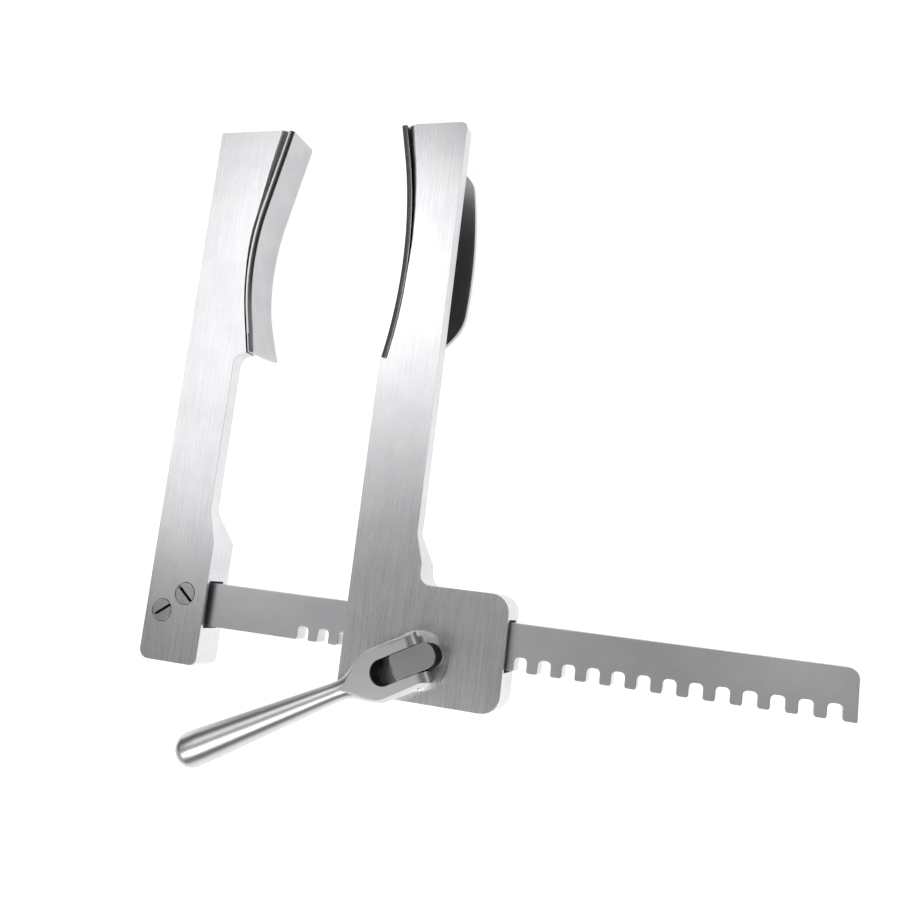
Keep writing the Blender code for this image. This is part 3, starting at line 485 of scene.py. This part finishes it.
# the crotch is milled right through with a round-ended slot, whose two rounds all but meet
slot_start, slot_height = -0.012, 0.02
select_only()
bpy.ops.mesh.primitive_cube_add(size=1, location=((crotch + slot_start) / 2, 0, 0),
                                scale=(crotch - slot_start, 2 * slot_half, slot_height))
slot_cutter = bpy.context.object
bpy.ops.object.transform_apply(location=True, scale=True)
bpy.ops.object.mode_set(mode="EDIT")
bpy.ops.mesh.select_all(action="DESELECT")
bm = bmesh.from_edit_mesh(slot_cutter.data)
for edge in bm.edges:
    if all(vertex.co.x > crotch - 1e-5 for vertex in edge.verts):
        if abs(edge.verts[0].co.z - edge.verts[1].co.z) > slot_height / 2:
            edge.select_set(True)
bmesh.update_edit_mesh(slot_cutter.data)
bpy.ops.mesh.bevel(offset=slot_half * 0.997, segments=16, affect="EDGES")
bpy.ops.object.mode_set(mode="OBJECT")
cut_away(crank, slot_cutter)

# the cheeks' tips are rounded over the pin: a cylinder whose front half is drawn out far past the grip
# leaves the whole crank but for what sticks out of its back half, a hair wider than the flats
form_length = 0.03
select_only()
bpy.ops.mesh.primitive_cylinder_add(vertices=64, radius=fork_half * 1.004, depth=form_length,
                                    rotation=(math.pi / 2, 0, 0))
tip_form = bpy.context.object
bpy.ops.object.transform_apply(rotation=True)
bpy.ops.object.mode_set(mode="EDIT")
bpy.ops.mesh.select_all(action="DESELECT")
bpy.ops.object.mode_set(mode="OBJECT")
for vertex in tip_form.data.vertices:
    vertex.select = vertex.co.x > 1e-5
bpy.ops.object.mode_set(mode="EDIT")
bpy.ops.transform.resize(value=(40, 4, 4), center_override=(0, 0, 0))
bpy.ops.object.mode_set(mode="OBJECT")
cut_away(crank, tip_form, "INTERSECT")

# the hinge pin's bore goes through both cheeks
select_only()
bpy.ops.mesh.primitive_cylinder_add(vertices=48, radius=bore_radius, depth=form_length,
                                    rotation=(math.pi / 2, 0, 0))
cut_away(crank, bpy.context.object)
crank.data.transform(crank_place)
smooth_rounds(crank)

crank_steel = satin_stainless("crank_polished_stainless", "#d6d6d8", "#cecfd0", roughness=0.34,
                              line_step=0.00022, line_length=0.006, line_axis="Z", line_depth=0.000003)
crank_tree = crank_steel.node_tree
crank_at = add_node(crank_tree, "ShaderNodeTexCoord")
from_hinge = add_node(crank_tree, "ShaderNodeVectorMath", {"operation": "SUBTRACT"}, {1: tuple(hinge)},
                      {0: crank_at.outputs["Object"]})
# the slot is painted dark as shade: how far this reaches from the hinge pin each way, and over what it fades
slot_shade_limits = (
    (along, crotch + 0.0002, 0.0001),
    (across, slot_half + 0.0001, 0.0001),
    (across * -1, slot_half + 0.0001, 0.0001),
    (upward, fork_half - 0.0009, 0.0006),
    (upward * -1, fork_half + 0.001, 0.0006))
slot_shade_mask = None
for axis, reach, fade in slot_shade_limits:
    toward = add_node(crank_tree, "ShaderNodeVectorMath", {"operation": "DOT_PRODUCT"}, {1: tuple(axis)},
                      {0: from_hinge.outputs["Vector"]})
    within = add_node(crank_tree, "ShaderNodeMapRange",
                      inputs={"From Min": reach, "From Max": reach + fade, "To Min": 1.0, "To Max": 0.0},
                      links={"Value": toward.outputs["Value"]}).outputs["Result"]
    if slot_shade_mask is None:
        slot_shade_mask = within
    else:
        both = add_node(crank_tree, "ShaderNodeMath", {"operation": "MULTIPLY"},
                        links={0: slot_shade_mask, 1: within})
        slot_shade_mask = both.outputs["Value"]
paint_shade_dark(crank_steel, slot_shade_mask)
hand_over(crank, crank_steel, "crank", "crank_steel", "crank_handle")

# Hinge pin: a plain ground stainless pin through the cheeks and the lug, on which the crank folds. Its
# ends are peened to low domes.

pin_radius, pin_length = 0.0015, 0.014
select_only()
bpy.ops.mesh.primitive_cylinder_add(vertices=48, radius=pin_radius, depth=pin_length,
                                    rotation=(math.pi / 2, 0, 0))
hinge_pin = bpy.context.object
hinge_pin.name = "hinge_pin"
bpy.ops.object.transform_apply(rotation=True)
hinge_pin.data.transform(crank_place)
break_edges(hinge_pin, 0.0004, segments=3)
hand_over(hinge_pin, pin_steel, "spindle", "pin_steel", "crank_hinge_pin")

# Stage: a plain pale table top of opal glass lit from below, level under the two lips, in a room with
# pale walls. Soft lamps light it, and the camera looks from the photograph's angle.

select_only()
bpy.ops.mesh.primitive_grid_add(x_subdivisions=2, y_subdivisions=2, size=12.0)
table_top = bpy.context.object
table_top.name = "table_top"
table_top.location = (0, 0, -0.0001)
glass = bpy.data.materials.new("opal_glass_lit_from_below")
glass.use_nodes = True
glass_shader = glass.node_tree.nodes["Principled BSDF"]
glass_shader.inputs["Base Color"].default_value = linear("#e6e6e6")
glass_shader.inputs["Roughness"].default_value = 0.9
glass_shader.inputs["Emission Color"].default_value = linear("#ffffff")
glass_shader.inputs["Emission Strength"].default_value = 0.78
table_top.data.materials.append(glass)

# the room: pale walls under a grey ceiling
wall, ceiling = 0.5, 0.155
world = bpy.data.worlds.new("studio")
bpy.context.scene.world = world
world.use_nodes = True
room = world.node_tree
look = add_node(room, "ShaderNodeTexCoord")
look_height = add_node(room, "ShaderNodeSeparateXYZ", links={"Vector": look.outputs["Generated"]})
strength = add_node(room, "ShaderNodeMapRange", {"interpolation_type": "SMOOTHSTEP"},
                    {"From Min": 0.35, "From Max": 0.85, "To Min": wall, "To Max": ceiling},
                    {"Value": look_height.outputs["Z"]}).outputs["Result"]
# three round dark flags, each with its direction and half its width in degrees: the rolled edges, the
# blades' rims and the grip's two flanks mirror them as dark lines
flags = (((-0.90, 0.32, 0.32), 24), ((0.92, 0.14, 0.35), 19), ((-0.09, -0.86, 0.48), 16))
flag_softness, flag_shade = 8, 0.04
for flag_at, flag_spread in flags:
    toward_flag = add_node(room, "ShaderNodeVectorMath", {"operation": "DOT_PRODUCT"},
                           {1: Vector(flag_at).normalized()}, {0: look.outputs["Generated"]})
    flag = add_node(room, "ShaderNodeMapRange", {"interpolation_type": "SMOOTHSTEP"},
                    {"From Min": math.cos(math.radians(flag_spread + flag_softness)),
                     "From Max": math.cos(math.radians(flag_spread)), "To Min": 1.0, "To Max": flag_shade},
                    {"Value": toward_flag.outputs["Value"]})
    strength = add_node(room, "ShaderNodeMath", {"operation": "MULTIPLY"},
                        links={0: strength, 1: flag.outputs["Result"]}).outputs["Value"]
room.links.new(strength, room.nodes["Background"].inputs["Strength"])
room.nodes["Background"].inputs["Color"].default_value = linear("#ffffff")


def soft_lamp(name, place, width, height, brightness):
    """A rectangular soft box that faces the table's middle; its brightness is what a mirror shows of it."""
    lamp = bpy.data.lights.new(name, "AREA")
    lamp.shape = "RECTANGLE"
    lamp.size = width
    lamp.size_y = height
    lamp.energy = brightness * math.pi * width * height
    holder = bpy.data.objects.new(name, lamp)
    bpy.context.scene.collection.objects.link(holder)
    holder.location = place
    holder.rotation_euler = (Vector((0, 0, 0)) - Vector(place)).to_track_quat("-Z", "Y").to_euler()


soft_lamp("key", (-0.50, 0.21, 0.68), width=0.50, height=0.32, brightness=1.46)
soft_lamp("fill", (-0.22, 0.24, 0.76), width=0.26, height=0.47, brightness=1.26)
soft_lamp("front", (-0.24, -0.50, 0.70), width=0.46, height=0.32, brightness=4.2)
soft_lamp("top", (0.16, -0.03, 0.85), width=0.18, height=0.14, brightness=1.5)

camera = bpy.data.cameras.new("camera")
camera.lens = 37.36
camera.sensor_width = 36
camera.clip_start = 0.01
camera_holder = bpy.data.objects.new("camera", camera)
bpy.context.scene.collection.objects.link(camera_holder)
camera_at = Vector((0.07394, -0.03610, 0.25578))
camera_right = Vector((0.9442, 0.1174, -0.3078))
camera_up = Vector((-0.0681, 0.9837, 0.1665))
camera_back = Vector((0.3223, -0.1362, 0.9368))
camera_holder.matrix_world = (Matrix.Translation(camera_at)
                              @ Matrix((camera_right, camera_up, camera_back)).transposed().to_4x4())
bpy.context.scene.camera = camera_holder
bpy.context.scene.view_settings.view_transform = "Standard"
